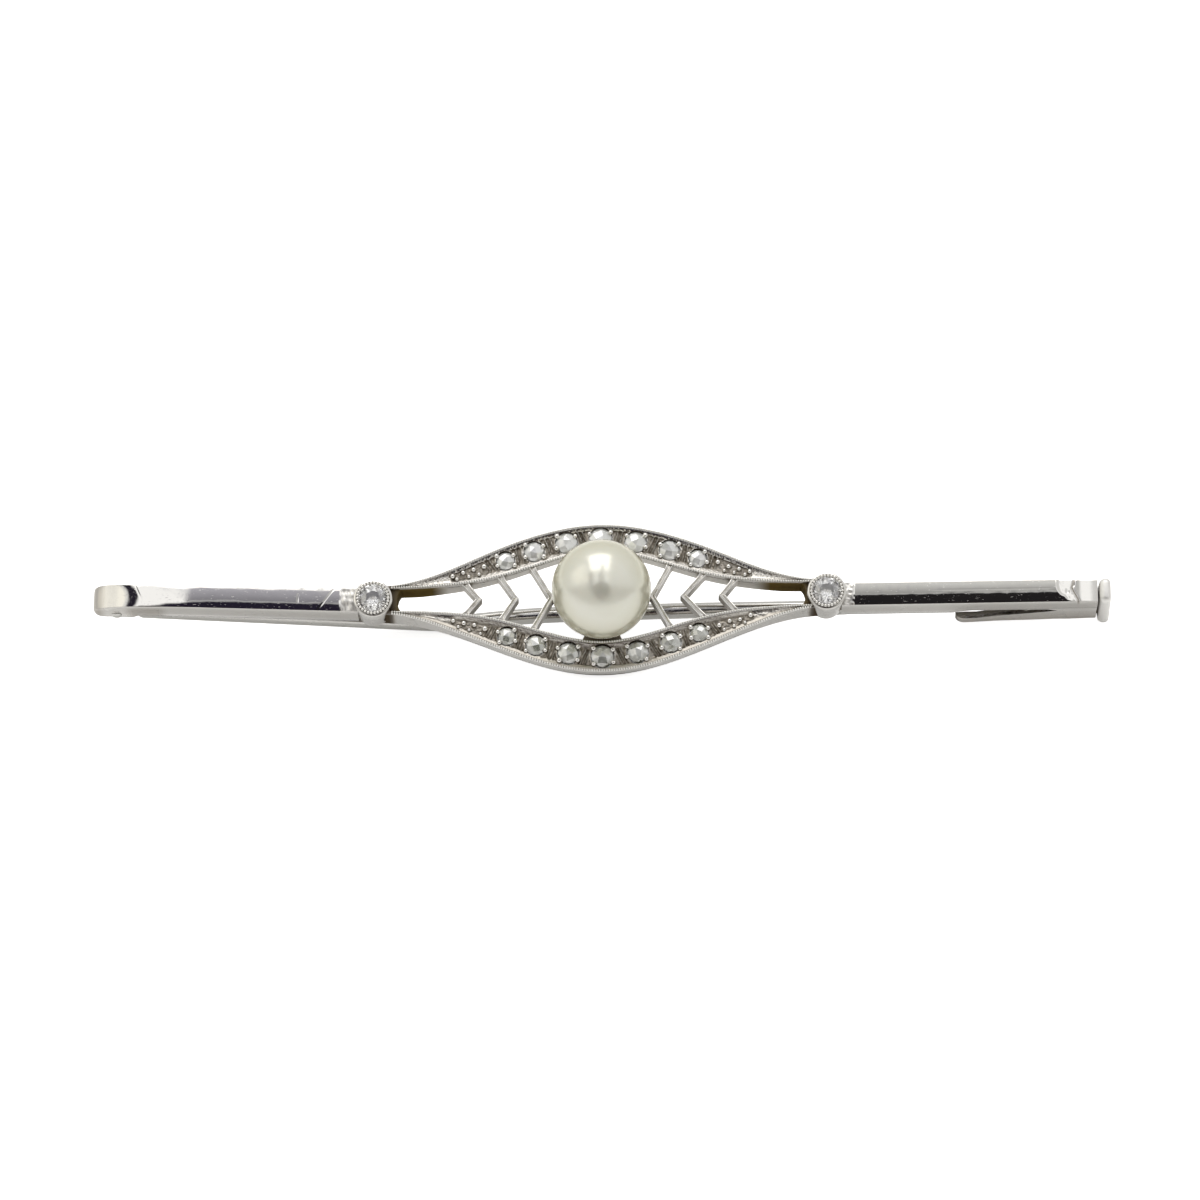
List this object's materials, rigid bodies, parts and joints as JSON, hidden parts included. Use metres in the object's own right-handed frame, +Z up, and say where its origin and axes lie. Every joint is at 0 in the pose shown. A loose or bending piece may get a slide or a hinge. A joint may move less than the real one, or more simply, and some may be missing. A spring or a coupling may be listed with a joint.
{
  "type": "pearl and diamond bar brooch",
  "caption": "Slim bar brooch with an open marquise frame of rose-cut diamonds round a pearl, a collet-set diamond at each end of it, a hinged pin and a safety slide.",
  "frame": {"origin": "middle of the brooch's outline on the surface that it lies on", "axes": "+X along the brooch from the hinge to the catch, +Z up from the surface that it lies on, +Y across it towards the raised edge of the frame"},
  "size_m": [0.062, 0.0084, 0.0081],
  "materials": {
    "white_gold": "worn polish with fine scratches",
    "pin_steel": "worn polish, a little tarnished",
    "pearl": "soft pearl lustre",
    "diamond": "cut and polished"
  },
  "bodies": {
    "brooch": {"setting": "white_gold", "pearl": "pearl", "collet_stone_left": "diamond", "collet_stone_right": "diamond", "upper_diamond_1": "diamond", "upper_diamond_2": "diamond", "upper_diamond_3": "diamond", "upper_diamond_4": "diamond", "upper_diamond_5": "diamond", "upper_diamond_6": "diamond", "upper_diamond_7": "diamond", "lower_diamond_1": "diamond", "lower_diamond_2": "diamond", "lower_diamond_3": "diamond", "lower_diamond_4": "diamond", "lower_diamond_5": "diamond", "lower_diamond_6": "diamond", "lower_diamond_7": "diamond", "hinge_rivet": "white_gold"},
    "pin": {"pin_stem": "pin_steel"},
    "sleeve": {"catch_sleeve": "white_gold"}
  },
  "joints": [
    {"name": "pin_swing", "type": "hinge", "parent": "brooch", "child": "pin", "pos_m": [-0.02959, 0.00137, 0.00251], "axis": [0.0436, 0.8209, 0.5693], "range_deg": [0, 70]},
    {"name": "catch_slide", "type": "slide", "parent": "brooch", "child": "sleeve", "axis": [1, 0, 0], "range_m": [0, 0.004]}
  ]
}
